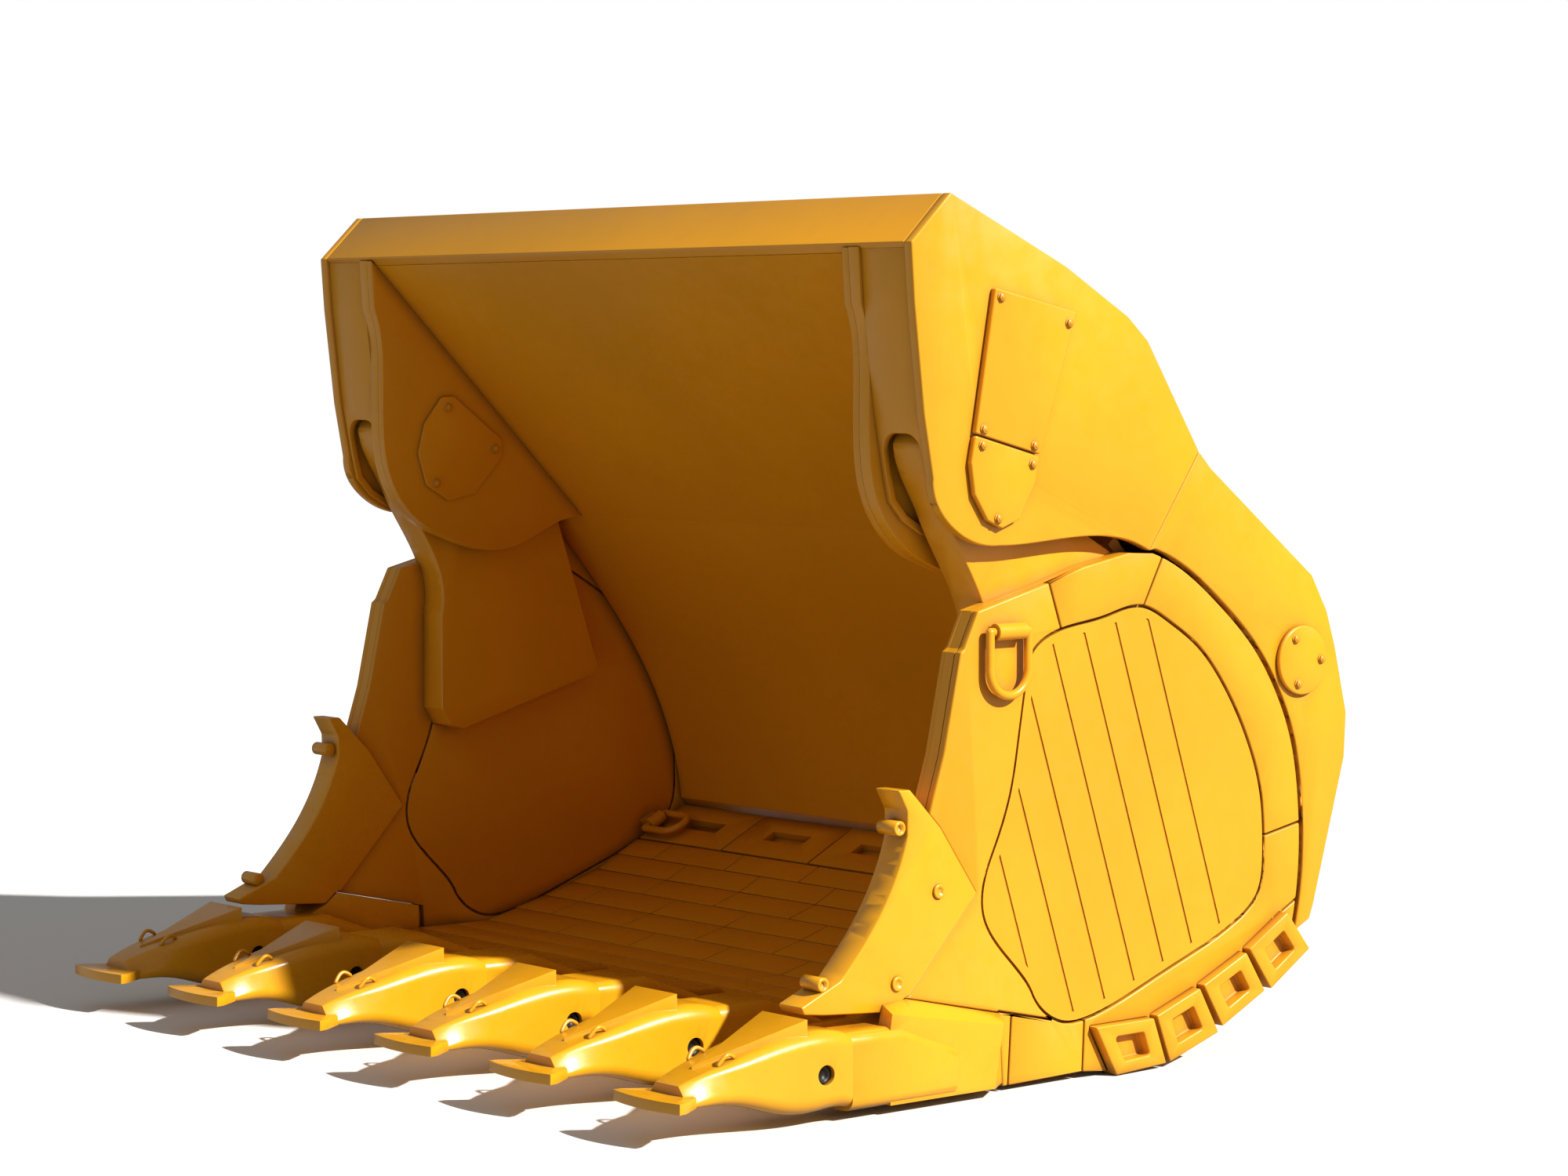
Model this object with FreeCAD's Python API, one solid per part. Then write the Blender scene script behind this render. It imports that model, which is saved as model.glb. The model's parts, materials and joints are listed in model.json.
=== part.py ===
import FreeCAD, Part
import math
import os

from FreeCAD import Vector

# Bottom-dump bucket of a hydraulic face shovel, in millimetres.
# Working axes: X across the bucket (right is +X), Y from the teeth to the back, Z up.
# Profiles are lists of (y, z) points, and plates are profiles extruded along X.
# The last step moves every piece so that the origin is the middle of the stick pivot.

# ---- driving dimensions -------------------------------------------------------------
HALF_WIDTH = 2100.0          # outer face of the cheeks
CHEEK_PLATE = 50.0           # outer cheek and side arm thickness
ARM_IN, ARM_OUT = 1825.0, 2005.0         # hinge arm, across X
LINER_IN, CHEEK_IN, CHANNEL_IN = 1674.0, 1714.0, 1774.0   # inner cheek layers, across X
CHANNEL_OUT = HALF_WIDTH - CHEEK_PLATE
BACK_EDGE = 1960.0           # lower back plate, half width, inside the clam walls
WALL_IN, WALL_OUT = 2005.0, 2055.0       # clam side wall plate, across X
WALL_LINER_IN = 1980.0       # inner face of the clam's inner liner
SKIN_OUT = 2095.0            # outer face of the clam's rim plates
PANEL_OUT = 2090.0           # outer face of the ribbed liner
SHROUD_IN = 1955.0           # inner face of the wing shroud
SHELL = 50.0                 # top, rear and back plate thickness

HINGE = (1020.0, 2060.0)     # clam hinge
CRANK_PIN = (1117.0, 2530.0)
BASE_PIN = (2800.0, 1235.0)
STICK_PIVOT = (2390.0, 2375.0)
TILT_PIVOT = (3262.0, 1120.0)

PIN_R = 80.0                 # clam hinge pin
RUNNING_FIT = 0.05           # radial clearance of every pin that turns
CRANK_PIN_R = 60.0
BASE_PIN_R = 70.0
STICK_PIN_R = 120.0
TILT_PIN_R = 90.0
CYLINDER_X = 1915.0          # middle of the clam cylinders, across X

FLOOR_TOP = -215.0           # top of the wear tiles on the flat of the floor
TILE = 40.0
FLOOR_PLATE = 90.0
GROUND = -440.0              # lowest plane: wear bars and first heel block

TOOTH_COUNT = 6
TOOTH_PITCH = 812.0          # the outer teeth stand under the clam's side walls
TOOTH_JOINT_Y = 165.0        # where tooth and adapter meet
TOOTH_TIP_Y = -757.0


# ---- outlines -----------------------------------------------------------------------
def at_x(x, point):
    return Vector(x, point[0], point[1])


def path_edges(path, x):
    """Edges of a path. A step is a point, ("arc", middle, end) or ("curve", points)."""
    edges = []
    here = at_x(x, path[0])
    for step in path[1:]:
        if step[0] == "arc":
            there = at_x(x, step[2])
            edges.append(Part.Arc(here, at_x(x, step[1]), there).toShape())
        elif step[0] == "curve":
            points = [here] + [at_x(x, point) for point in step[1]]
            there = points[-1]
            curve = Part.BSplineCurve()
            curve.interpolate(points)
            edges.append(curve.toShape())
        else:
            there = at_x(x, step)
            if there.distanceToPoint(here) > 1e-6:
                edges.append(Part.makeLine(here, there))
        here = there
    return edges


def plate(path, x_low, x_high):
    """Solid between two X planes with the closed outline `path`."""
    face = Part.Face(Part.Wire(path_edges(path + [path[0]], x_low)))
    return face.extrude(Vector(x_high - x_low, 0, 0))


def rounded(points, radius):
    """Closed path through `points` with every corner rounded to `radius`."""
    path = []
    for index, corner in enumerate(points):
        here = Vector(corner[0], corner[1], 0)
        before = Vector(*points[index - 1], 0)
        after = Vector(*points[(index + 1) % len(points)], 0)
        back = (before - here).normalize()
        ahead = (after - here).normalize()
        half = back.getAngle(ahead) / 2
        start = here + back * (radius / math.tan(half))
        end = here + ahead * (radius / math.tan(half))
        middle = here + (back + ahead).normalize() * (radius / math.sin(half) - radius)
        path.append((start.x, start.y))
        path.append(("arc", (middle.x, middle.y), (end.x, end.y)))
    return path


def offset(points, distance):
    """Points moved square to the line through them, to its left when seen from +X."""
    moved = []
    for index, point in enumerate(points):
        before = points[max(index - 1, 0)]
        after = points[min(index + 1, len(points) - 1)]
        sides = []
        for start, end in ((before, point), (point, after)):
            length = math.hypot(end[0] - start[0], end[1] - start[1])
            if length > 0:
                sides.append(((end[0] - start[0]) / length, (end[1] - start[1]) / length))
        normals = [(-side[1], side[0]) for side in sides]
        sum_y = sum(normal[0] for normal in normals)
        sum_z = sum(normal[1] for normal in normals)
        size = math.hypot(sum_y, sum_z)
        stretch = distance / (normals[0][0] * sum_y / size + normals[0][1] * sum_z / size)
        moved.append((point[0] + sum_y / size * stretch, point[1] + sum_z / size * stretch))
    return moved


def disc(centre, radius, x_low, x_high):
    """Cylinder along X about a (y, z) centre."""
    return Part.makeCylinder(radius, x_high - x_low, at_x(x_low, centre), Vector(1, 0, 0))


def ring(centre, outer, inner, x_low, x_high):
    return disc(centre, outer, x_low, x_high).cut(disc(centre, inner, x_low, x_high))


def box(x0, x1, y0, y1, z0, z1):
    return Part.makeBox(x1 - x0, y1 - y0, z1 - z0, Vector(x0, y0, z0))


def mirrored(shape):
    return shape.mirror(Vector(0, 0, 0), Vector(1, 0, 0))


def both_sides(shapes):
    """The right-hand shapes and their mirror images."""
    return list(shapes) + [mirrored(shape) for shape in shapes]


def group(shapes):
    return Part.makeCompound([solid for shape in shapes for solid in shape.Solids])


def along(start, end, distance):
    length = math.hypot(end[0] - start[0], end[1] - start[1])
    share = distance / length
    return (start[0] + (end[0] - start[0]) * share, start[1] + (end[1] - start[1]) * share)


# ---- profiles of the rear wall ------------------------------------------------------
GUARD = [(550, 2999), (758, 3198), (900, 3135), (870, 3068), (745, 2961), (583, 2962)]
TOP_LINE = [(900, 3135), (1397, 2913), (1754, 2710), (1870, 2610), (2177, 2146)]
REAR_LINE = [(2177, 2146), (2247, 2076), (2882, 1599), (2978, 1440), (3033, 1279),
             (3107, 989), (3096, 795), (2905, 160)]
BACK_TOP, BACK_BEND = (583, 2962), (1782, 1761)
BACK_CURVE = [BACK_BEND, (2170, 1300), (2480, 800), (2585, 500), (2622, 300)]
CHEEK_FRONT = [(550, 2999), (568, 2760), (621, 2317), (669, 2064)]
CHEEK_TOE = ("curve", [(697, 1949), (770, 1868), (871, 1810), (1028, 1785)])
CHEEK_BOTTOM = ("curve", [(1300, 1796), (1584, 1808), (1740, 1790), (1885, 1737)])
INNER_TOE = ("curve", [(623, 2102), (660, 1960), (733, 1842), (836, 1752), (1002, 1677),
                       (1210, 1616), (1420, 1643), (1600, 1725), (1782, 1761)])


# ---- profiles of the clam -----------------------------------------------------------
CLAM_REAR = [(1913, 1725), (2035, 1677), (2310, 1493), (2515, 1309), (2672, 1090), (2765, 874),
             (2807, 643), (2818, 450), (2806, 250), (2768, 60)]
CLAM_BOTTOM = [(2800, 0), (2560, -150), (2270, -300), (1960, -395), (1660, -425), (1507, -412)]
CORNER_TOP = [(1061, -420), (1040, -113), (521, 0)]
CORNER_INNER = [(380, FLOOR_TOP), (380, -92), (463, -54), (525, -3), (995, -106),
                (995, FLOOR_TOP)]
CORNER_MIDDLE = [(380, -402), (380, -92), (463, -54), (525, -3), (1034, -116), (1052, -402)]
CORNER_FLANK = [(380, -402), (380, -95), (400, -12), (525, -3), (1034, -116), (1052, -402)]
CORNER_FACE = [(375, -402), (375, -95), (385, -40), (500, -60), (985, -145), (940, -402)]
EGG = [(1229, -70), (1026, 163), (946, 299), (944, 395), (1016, 578), (1100, 795),
       (1143, 1017), (1179, 1225), (1221, 1353), (1310, 1413), (1632, 1478), (1845, 1513),
       (2015, 1440), (2188, 1328), (2340, 1164), (2495, 912), (2575, 698), (2600, 420),
       (2568, 243), (2431, 130), (2185, 23), (1945, -64), (1710, -150), (1549, -193),
       (1412, -199), (1321, -163)]
HEEL_BLOCKS = [[(1549, -226), (1669, -440), (1963, -423), (1888, -223)],
               [(1905, -215), (1985, -420), (2277, -325), (2163, -125)],
               [(2185, -115), (2301, -303), (2562, -176), (2446, 0)],
               [(2465, 12), (2600, -173), (2842, -21), (2700, 150)]]
FLOOR_LINE = [(1000, FLOOR_TOP), (1400, FLOOR_TOP), (1760, -125), (2080, -20), (2345, 110),
              (2640, 262)]

# ---- sizes of the smaller pieces ----------------------------------------------------
RIB_PLATE = 40.0
STICK_LUG_X, STICK_LUG_PLATE = 820.0, 120.0
STICK_LUG_R, STICK_BUSH_R = 235.0, 150.0
TILT_LUG_X, TILT_LUG_GAP, TILT_LUG_PLATE = 1230.0, 135.0, 70.0
TILT_LUG_R, TILT_BUSH_R = 175.0, 115.0
FACE_RECESS, FACE_PLATE = 15.0, 30.0
SLOT_LOW, SLOT_HIGH, SLOT_TOP, SLOT_CORNER = 1800.0, 2030.0, 2240.0, 80.0
ARM_GAP = 20.0
COVER_PLATE, ROUND_COVER_PLATE, INNER_COVER_PLATE = 32.0, 25.0, 16.0
ROUND_COVER_R = 150.0
BOLT_R, BOLT_HEIGHT = 21.0, 16.0
GROOVE = 12.0                # gap round the ribbed liner
RIB_GROOVE, RIB_GROOVE_DEPTH, RIB_PITCH, RIB_SLANT = 16.0, 6.0, 192.0, 18.4
RIB_MARGIN = 35.0            # plain band along the edge of the ribbed liner
JOINT = 8.0                  # joints between rim plates
BLOCK_OUT, BLOCK_POCKET = 2140.0, 55.0
CRANK_R = 118.0
FORK_LOW, FORK_HIGH, FORK_DEPTH = 1870.0, 1960.0, 170.0
ARM_BUSH_R = 105.0
TILE_ROW, TILE_LENGTH, TILE_GAP = 160.0, 560.0, 6.0
TILES_ACROSS = 8
TILE_EDGE = 1972.0
HEEL_PLATE_COUNT = 6
BAR_WIDTH = 150.0
BAR_PLACES = (300.0, 900.0, 1500.0, 1900.0)
CASTING_HALF, CASTING_TOP, CASTING_LOW = 165.0, -90.0, -402.0    # tooth and adapter
CASTING_CORNER = 50.0
LIP_FRONT, LIP_LOW = 300.0, -375.0
CORNER_OUT = 2180.0          # outer face of the corner castings
TOOTH_PIN, TOOTH_PIN_R, TOOTH_PIN_HALF = (28.0, -238.0), 40.0, 150.0
BLADE_LOW, BLADE_TOP = -296.0, -254.0
RIDGE_FRONT, RIDGE_BACK, RIDGE_HALF = (-510.0, -164.0), (-44.0, -16.0), 137.0
PLUG_R = 30.0
ROD_R, TUBE_R = 18.0, 34.0   # lifting rings and their tubes
OUTER_RING = (Vector(2131, 950, 1440), Vector(2131, 1160, 1440))
OUTER_RING_DROP = Vector(0, 0, -260)
INNER_RING = (Vector(1925, 2360, 165), Vector(1925, 2490, 232))
INNER_RING_DROP = Vector(-215, 0, 0)
BASE_EYE_R, BARREL_R, BORE_R = 112.0, 88.0, 70.0
BARREL_FLOOR, BARREL_END = 140.0, 1130.0
ROD_SHAFT_R, NECK_R, ROD_EYE_R = 52.0, 40.0, 95.0
PISTON_AT = 1000.0


def spill_guard():
    return plate(GUARD, -CHANNEL_OUT, CHANNEL_OUT)


def top_plate():
    inner = offset(TOP_LINE, -SHELL)
    return plate(TOP_LINE + inner[::-1], -CHANNEL_OUT, CHANNEL_OUT).cut(spill_guard())


def rear_plate():
    inner = offset(REAR_LINE, -SHELL)
    return plate(REAR_LINE + inner[::-1], -CHANNEL_OUT, CHANNEL_OUT).cut(top_plate())


def back_plate_upper():
    run = SHELL / math.sqrt(2)
    outline = [BACK_TOP, BACK_BEND, (BACK_BEND[0] + run, BACK_BEND[1] + run),
               (BACK_TOP[0] + run, BACK_TOP[1] + run)]
    return plate(outline, -CHEEK_IN, CHEEK_IN).cut(spill_guard())


def back_plate_lower():
    run = SHELL / math.sqrt(2)
    outer = [(BACK_BEND[0] + run, BACK_BEND[1] + run)] + offset(BACK_CURVE, SHELL)[1:]
    outline = [BACK_CURVE[0], ("curve", BACK_CURVE[1:]), outer[-1], ("curve", outer[-2::-1])]
    return plate(outline, -BACK_EDGE, BACK_EDGE)


def closing_bar():
    outline = [BACK_CURVE[-1], offset(BACK_CURVE, SHELL)[-1], offset(REAR_LINE, -SHELL)[-1],
               REAR_LINE[-1], (2880, 100), (2812, 68)]
    return plate(outline, -BACK_EDGE, BACK_EDGE)


def without_shell(solid):
    """What is left of an inner plate between the shell plates that it meets."""
    return solid.cut([spill_guard(), top_plate(), rear_plate(), back_plate_upper(),
                      back_plate_lower(), closing_bar()])


def box_ribs():
    outline = ([BACK_TOP, BACK_BEND, ("curve", BACK_CURVE[1:]), REAR_LINE[-1]]
               + REAR_LINE[-2::-1] + TOP_LINE[-2::-1])
    web = without_shell(plate(outline, 0, RIB_PLATE))
    ribs = []
    for centre in (STICK_LUG_X, TILT_LUG_X - TILT_LUG_GAP, TILT_LUG_X + TILT_LUG_GAP):
        rib = web.copy()
        rib.translate(Vector(centre - RIB_PLATE / 2, 0, 0))
        ribs.append(rib)
    return group(both_sides(ribs))


def cheek_inner():
    outline = ([(552, 2985), (568, 2760), INNER_TOE, ("curve", BACK_CURVE[1:]), REAR_LINE[-1]]
               + REAR_LINE[-2::-1] + TOP_LINE[-2::-1])
    wall = without_shell(plate(outline, CHEEK_IN, CHANNEL_IN))
    return wall.cut([disc(HINGE, PIN_R, CHEEK_IN, CHANNEL_IN),
                     disc(BASE_PIN, BASE_PIN_R, CHEEK_IN, CHANNEL_IN)])


def cheek_liners():
    outline = [(552, 2985), (568, 2760), INNER_TOE, BACK_TOP]
    liner = plate(outline, LINER_IN, CHEEK_IN).cut([spill_guard(), back_plate_upper()])
    return group(both_sides([liner]))


def cheek_outer():
    outline = CHEEK_FRONT + [CHEEK_TOE, CHEEK_BOTTOM] + TOP_LINE[::-1] + [(758, 3198)]
    cheek = plate(outline, CHANNEL_OUT, HALF_WIDTH)
    return cheek.cut(disc(HINGE, PIN_R, CHANNEL_OUT, HALF_WIDTH))


def cheek_front():
    """Recessed face between the two cheek plates, slotted for the hinge arm."""
    face_line = CHEEK_FRONT + [(697, 1949), (770, 1868), (871, 1810), (1028, 1785)]
    front = offset(face_line, FACE_RECESS)
    back = offset(face_line, FACE_RECESS + FACE_PLATE)
    band = plate(front + back[::-1], CHANNEL_IN, CHANNEL_OUT).cut(spill_guard())
    straight = SLOT_TOP - SLOT_CORNER
    front_y, back_y, foot = 500, 1100, 1500
    slot = [box(SLOT_LOW, SLOT_HIGH, front_y, back_y, foot, straight),
            box(SLOT_LOW + SLOT_CORNER, SLOT_HIGH - SLOT_CORNER, front_y, back_y, straight,
                SLOT_TOP)]
    for x in (SLOT_LOW + SLOT_CORNER, SLOT_HIGH - SLOT_CORNER):
        slot.append(Part.makeCylinder(SLOT_CORNER, back_y - front_y, Vector(x, front_y, straight),
                                      Vector(0, 1, 0)))
    return band.cut(slot)


def side_arm():
    front = offset(CLAM_REAR, ARM_GAP)
    outline = ([(1885, 1737), front[0], ("curve", front[1:]), (2880, 100)]
               + REAR_LINE[::-1])
    return plate(outline, CHANNEL_OUT, HALF_WIDTH).cut(disc(BASE_PIN, BASE_PIN_R, CHANNEL_OUT,
                                                            HALF_WIDTH))


# ---- covers and pins of the rear wall -----------------------------------------------
def access_covers():
    upper = [(976, 2822), (1426, 2728), (1223, 2151), (870, 2241)]
    lower = [(868, 2233), (1219, 2143), (1197, 2037), (1111, 1891), (1015, 1856), (936, 1891),
             (865, 1995), (845, 2123)]
    covers = [plate(rounded(upper, 8), HALF_WIDTH, HALF_WIDTH + COVER_PLATE),
              plate(rounded(lower, 12), HALF_WIDTH, HALF_WIDTH + COVER_PLATE),
              disc((2805, 1235), ROUND_COVER_R, HALF_WIDTH, HALF_WIDTH + ROUND_COVER_PLATE)]
    return group(both_sides(covers))


def inner_covers():
    teardrop = [(940, 2350), (1010, 2350), (1290, 2140), (1290, 2060), (1129, 1889),
                (977, 1858), (851, 1932), (804, 2085), (840, 2225)]
    cover = plate(rounded(teardrop, 30), LINER_IN - INNER_COVER_PLATE, LINER_IN)
    return group(both_sides([cover]))


def bolt_head(centre, x_face, height):
    """Round head with a chamfered rim, on an X face and `height` proud of it."""
    x_top = x_face + height
    head = disc(centre, BOLT_R, min(x_face, x_top), max(x_face, x_top))
    rim = [edge for edge in head.Edges if abs(edge.CenterOfMass.x - x_top) < 0.1]
    return head.makeChamfer(BOLT_HEIGHT / 3, rim)


def cover_bolts():
    flat = HALF_WIDTH + COVER_PLATE
    places = [(1003, 2784), (1381, 2682), (911, 2256), (1190, 2186),
              (903, 2192), (1180, 2112), (990, 1896)]
    bolts = [bolt_head(place, flat, BOLT_HEIGHT) for place in places]
    ring_r = ROUND_COVER_R * 0.72
    for angle in (120, 0, 250):
        turn = math.radians(angle)
        place = (2805 + ring_r * math.cos(turn), 1235 + ring_r * math.sin(turn))
        bolts.append(bolt_head(place, HALF_WIDTH + ROUND_COVER_PLATE, BOLT_HEIGHT))
    for place in [(975, 2300), (1250, 2100), (905, 1942)]:
        bolts.append(bolt_head(place, LINER_IN - INNER_COVER_PLATE, -BOLT_HEIGHT))
    return group(both_sides(bolts))


def pivot_pins():
    """Clam hinge pins and cylinder base pins, fixed in the cheeks."""
    hinge_pin = disc(HINGE, PIN_R, CHEEK_IN, HALF_WIDTH)
    base_pin = disc(BASE_PIN, BASE_PIN_R, CHEEK_IN, HALF_WIDTH)
    return group(both_sides([hinge_pin, base_pin]))


# ---- lugs for the stick and the bucket cylinders ------------------------------------
def lug(pivot, foot_high, foot_low, radius, bush_r, x_low, x_high):
    """Ear that stands on the rear plate between two feet and ends round its pivot."""
    line = Vector(foot_low[0] - foot_high[0], foot_low[1] - foot_high[1], 0).normalize()
    high = (pivot[0] - line.x * radius, pivot[1] - line.y * radius)
    low = (pivot[0] + line.x * radius, pivot[1] + line.y * radius)
    tip = (pivot[0] - line.y * radius, pivot[1] + line.x * radius)
    outline = [foot_high, high, ("arc", tip, low), foot_low, (2000, foot_low[1]),
               (2000, foot_high[1])]
    ear = plate(outline, x_low, x_high)
    behind = TOP_LINE + REAR_LINE[1:] + [(900, 160)]
    return ear.cut([plate(behind, x_low, x_high), disc(pivot, bush_r, x_low, x_high)])


def stick_lugs():
    ear = lug(STICK_PIVOT, (2060, 2323), (2860, 1616), STICK_LUG_R, STICK_BUSH_R,
              STICK_LUG_X - STICK_LUG_PLATE / 2, STICK_LUG_X + STICK_LUG_PLATE / 2)
    return group(both_sides([ear]))


def tilt_lugs():
    ears = []
    for centre in (TILT_LUG_X - TILT_LUG_GAP, TILT_LUG_X + TILT_LUG_GAP):
        ears.append(lug(TILT_PIVOT, (2985, 1420), (3098, 830), TILT_LUG_R, TILT_BUSH_R,
                        centre - TILT_LUG_PLATE / 2, centre + TILT_LUG_PLATE / 2))
    return group(both_sides(ears))


def pivot_bushes():
    bushes = [ring(STICK_PIVOT, STICK_BUSH_R, STICK_PIN_R, STICK_LUG_X - STICK_LUG_PLATE / 2,
                   STICK_LUG_X + STICK_LUG_PLATE / 2)]
    for centre in (TILT_LUG_X - TILT_LUG_GAP, TILT_LUG_X + TILT_LUG_GAP):
        bushes.append(ring(TILT_PIVOT, TILT_BUSH_R, TILT_PIN_R, centre - TILT_LUG_PLATE / 2,
                           centre + TILT_LUG_PLATE / 2))
    return group(both_sides(bushes))


# ---- clam: side walls ---------------------------------------------------------------
def clam_outline():
    return ([(360, 40), (380, 170), (460, 290), (560, 450), (640, 640), (662, 732), (737, 962),
             (824, 1361), (845, 1376), (918, 1524), (1317, 1626), (1512, 1683), (1769, 1731),
             CLAM_REAR[0], ("curve", CLAM_REAR[1:])] + CLAM_BOTTOM + CORNER_TOP)


def egg_plate(shrink, x_low, x_high):
    """Panel in the middle of the side wall, with its outline drawn in by `shrink`."""
    closed = offset(EGG[-1:] + EGG + EGG[:1], -shrink)[1:-1]
    return plate([closed[0], ("curve", closed[1:] + closed[:1])], x_low, x_high)


def wing_shroud_outline():
    return [(-17, 17), (-2, -12), (98, -24), (463, -50), (521, 0), (554, 7), (911, 387),
            (712, 668), (549, 831), (487, 831), (536, 744), (538, 650),
            ("curve", [(480, 493), (391, 340), (272, 193), (184, 101)])]


def side_wall():
    return plate(clam_outline(), WALL_IN, WALL_OUT)


def inner_liner():
    liner = plate(clam_outline(), WALL_LINER_IN, WALL_IN)
    groove = egg_plate(0, WALL_LINER_IN, WALL_IN).cut(egg_plate(GROOVE, WALL_LINER_IN, WALL_IN))
    arm_space = plate(hinge_arm_outline(), WALL_LINER_IN, WALL_IN)
    shroud = plate(wing_shroud_outline(), WALL_LINER_IN, WALL_IN)
    return group([liner.cut([groove, arm_space, shroud])])


def ribbed_liner():
    """Wear panel with slanted grooves that stop short of its edge."""
    panel = egg_plate(GROOVE, WALL_OUT, PANEL_OUT)
    grooves = []
    z_low, z_high = -350, 1650
    lean = (z_high - z_low) * math.tan(math.radians(RIB_SLANT))
    for index in range(-4, 4):
        foot = 1900 + index * RIB_PITCH
        line = [(foot, z_low), (foot + RIB_GROOVE, z_low), (foot + RIB_GROOVE - lean, z_high),
                (foot - lean, z_high)]
        grooves.append(plate(line, PANEL_OUT - RIB_GROOVE_DEPTH, PANEL_OUT))
    keep = egg_plate(GROOVE + RIB_MARGIN, WALL_OUT, PANEL_OUT)
    return panel.cut([groove.common(keep) for groove in grooves])


def rim_plates():
    """Wear plates round the ribbed liner, parted where the joints are."""
    rim = plate(clam_outline(), WALL_OUT, SKIN_OUT)
    joints = [[(1303, 1640), (1380, 1425)], [(1970, 1720), (1850, 1500)],
              [(2540, 473), (2860, 535)], [(1521, -160), (1507, -460)],
              [(2660, 118), (2860, 222)], [(1105, -132), (1085, -460)],
              [(1030, -112), (1330, -178)]]
    cuts = [egg_plate(0, WALL_OUT, SKIN_OUT),
            plate(wing_shroud_outline(), WALL_OUT, SKIN_OUT)]
    for start, end in joints:
        length = math.hypot(end[0] - start[0], end[1] - start[1])
        side = (-(end[1] - start[1]) / length * JOINT, (end[0] - start[0]) / length * JOINT)
        cuts.append(plate([start, end, (end[0] + side[0], end[1] + side[1]),
                           (start[0] + side[0], start[1] + side[1])], WALL_OUT, SKIN_OUT))
    for outline in HEEL_BLOCKS:
        cuts.append(plate(outline, WALL_OUT, SKIN_OUT))
    return group([rim.cut(cuts)])


def heel_blocks():
    """Square wear blocks with a pocket in each, round the heel corner."""
    blocks = []
    for outline in HEEL_BLOCKS:
        centre_y = sum(point[0] for point in outline) / len(outline)
        centre_z = sum(point[1] for point in outline) / len(outline)
        pocket = [(centre_y + (y - centre_y) * 0.5, centre_z + (z - centre_z) * 0.5)
                  for y, z in outline]
        block = plate(outline, WALL_OUT, BLOCK_OUT)
        blocks.append(block.cut(plate(rounded(pocket, 12), BLOCK_OUT - BLOCK_POCKET, BLOCK_OUT)))
    return group(both_sides(blocks))


def wing_shroud():
    """Guard that straddles the front edge of the side wall."""
    return plate(wing_shroud_outline(), SHROUD_IN, HALF_WIDTH).cut(side_wall())


# ---- clam: hinge arms ---------------------------------------------------------------
def hinge_arm_outline():
    nose = (692, 2195)
    nose_end = (899, 2394)
    crank_top = (CRANK_PIN[0], CRANK_PIN[1] + CRANK_R)
    return [(1049, 850), (1049, 1300), ("curve", [(1030, 1535), (922, 1733), (832, 1890)]),
            ("curve", [(743, 2046), (707, 2123), nose]),
            ("arc", (757, 2297), nose_end), (CRANK_PIN[0] - CRANK_R, CRANK_PIN[1]),
            ("arc", crank_top, (CRANK_PIN[0] + CRANK_R, CRANK_PIN[1])),
            (1250, 2260), (1340, 2080), (1480, 1880), (1748, 1735), (1990, 1010), (1980, 975),
            (1180, 748), (1100, 770)]


def hinge_arm():
    arm = plate(hinge_arm_outline(), ARM_IN, ARM_OUT)
    fork = box(FORK_LOW, FORK_HIGH, 700, 1600, CRANK_PIN[1] - FORK_DEPTH, 2800)
    return arm.cut([fork, disc(HINGE, ARM_BUSH_R, ARM_IN, ARM_OUT),
                    disc(CRANK_PIN, CRANK_PIN_R, ARM_IN, ARM_OUT)])


def arm_bushes():
    bush = ring(HINGE, ARM_BUSH_R, PIN_R + RUNNING_FIT, ARM_IN, ARM_OUT)
    return group(both_sides([bush]))


def crank_pin_ends():
    """Outer lengths of the crank pin, held in the two ears of the arm."""
    ends = [disc(CRANK_PIN, CRANK_PIN_R, ARM_IN, FORK_LOW),
            disc(CRANK_PIN, CRANK_PIN_R, FORK_HIGH, ARM_OUT)]
    return group(both_sides(ends))


# ---- clam: floor and lip ------------------------------------------------------------
def floor_line(drop):
    """Top line of the floor, lowered by `drop`."""
    return offset(FLOOR_LINE, -drop)


def floor_plate():
    top = floor_line(TILE)
    bottom = floor_line(TILE + FLOOR_PLATE)
    return plate(top + bottom[::-1], -WALL_LINER_IN, WALL_LINER_IN)


def floor_wear_plates():
    """Brick pattern of tiles on the floor."""
    tiles = []
    lengths = [math.hypot(b[0] - a[0], b[1] - a[1]) for a, b in zip(FLOOR_LINE, FLOOR_LINE[1:])]
    for index, (start, end) in enumerate(zip(FLOOR_LINE[:-2], FLOOR_LINE[1:-1])):
        rows = max(1, round(lengths[index] / TILE_ROW))
        for row in range(rows):
            near = along(start, end, lengths[index] * row / rows + TILE_GAP / 2)
            far = along(start, end, lengths[index] * (row + 1) / rows - TILE_GAP / 2)
            run = offset([near, far], -TILE)
            shift = 0.5 if (row + index) % 2 else 0.0
            edges = [-TILE_EDGE] + [(step + shift - TILES_ACROSS / 2) * TILE_LENGTH
                                    for step in range(TILES_ACROSS + 1)] + [TILE_EDGE]
            edges = sorted(edge for edge in set(edges) if -TILE_EDGE <= edge <= TILE_EDGE)
            for left, right in zip(edges, edges[1:]):
                if right - left > 60:
                    tiles.append(plate([near, far] + run[::-1], left + TILE_GAP / 2,
                                       right - TILE_GAP / 2))
    return group(tiles)


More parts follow.
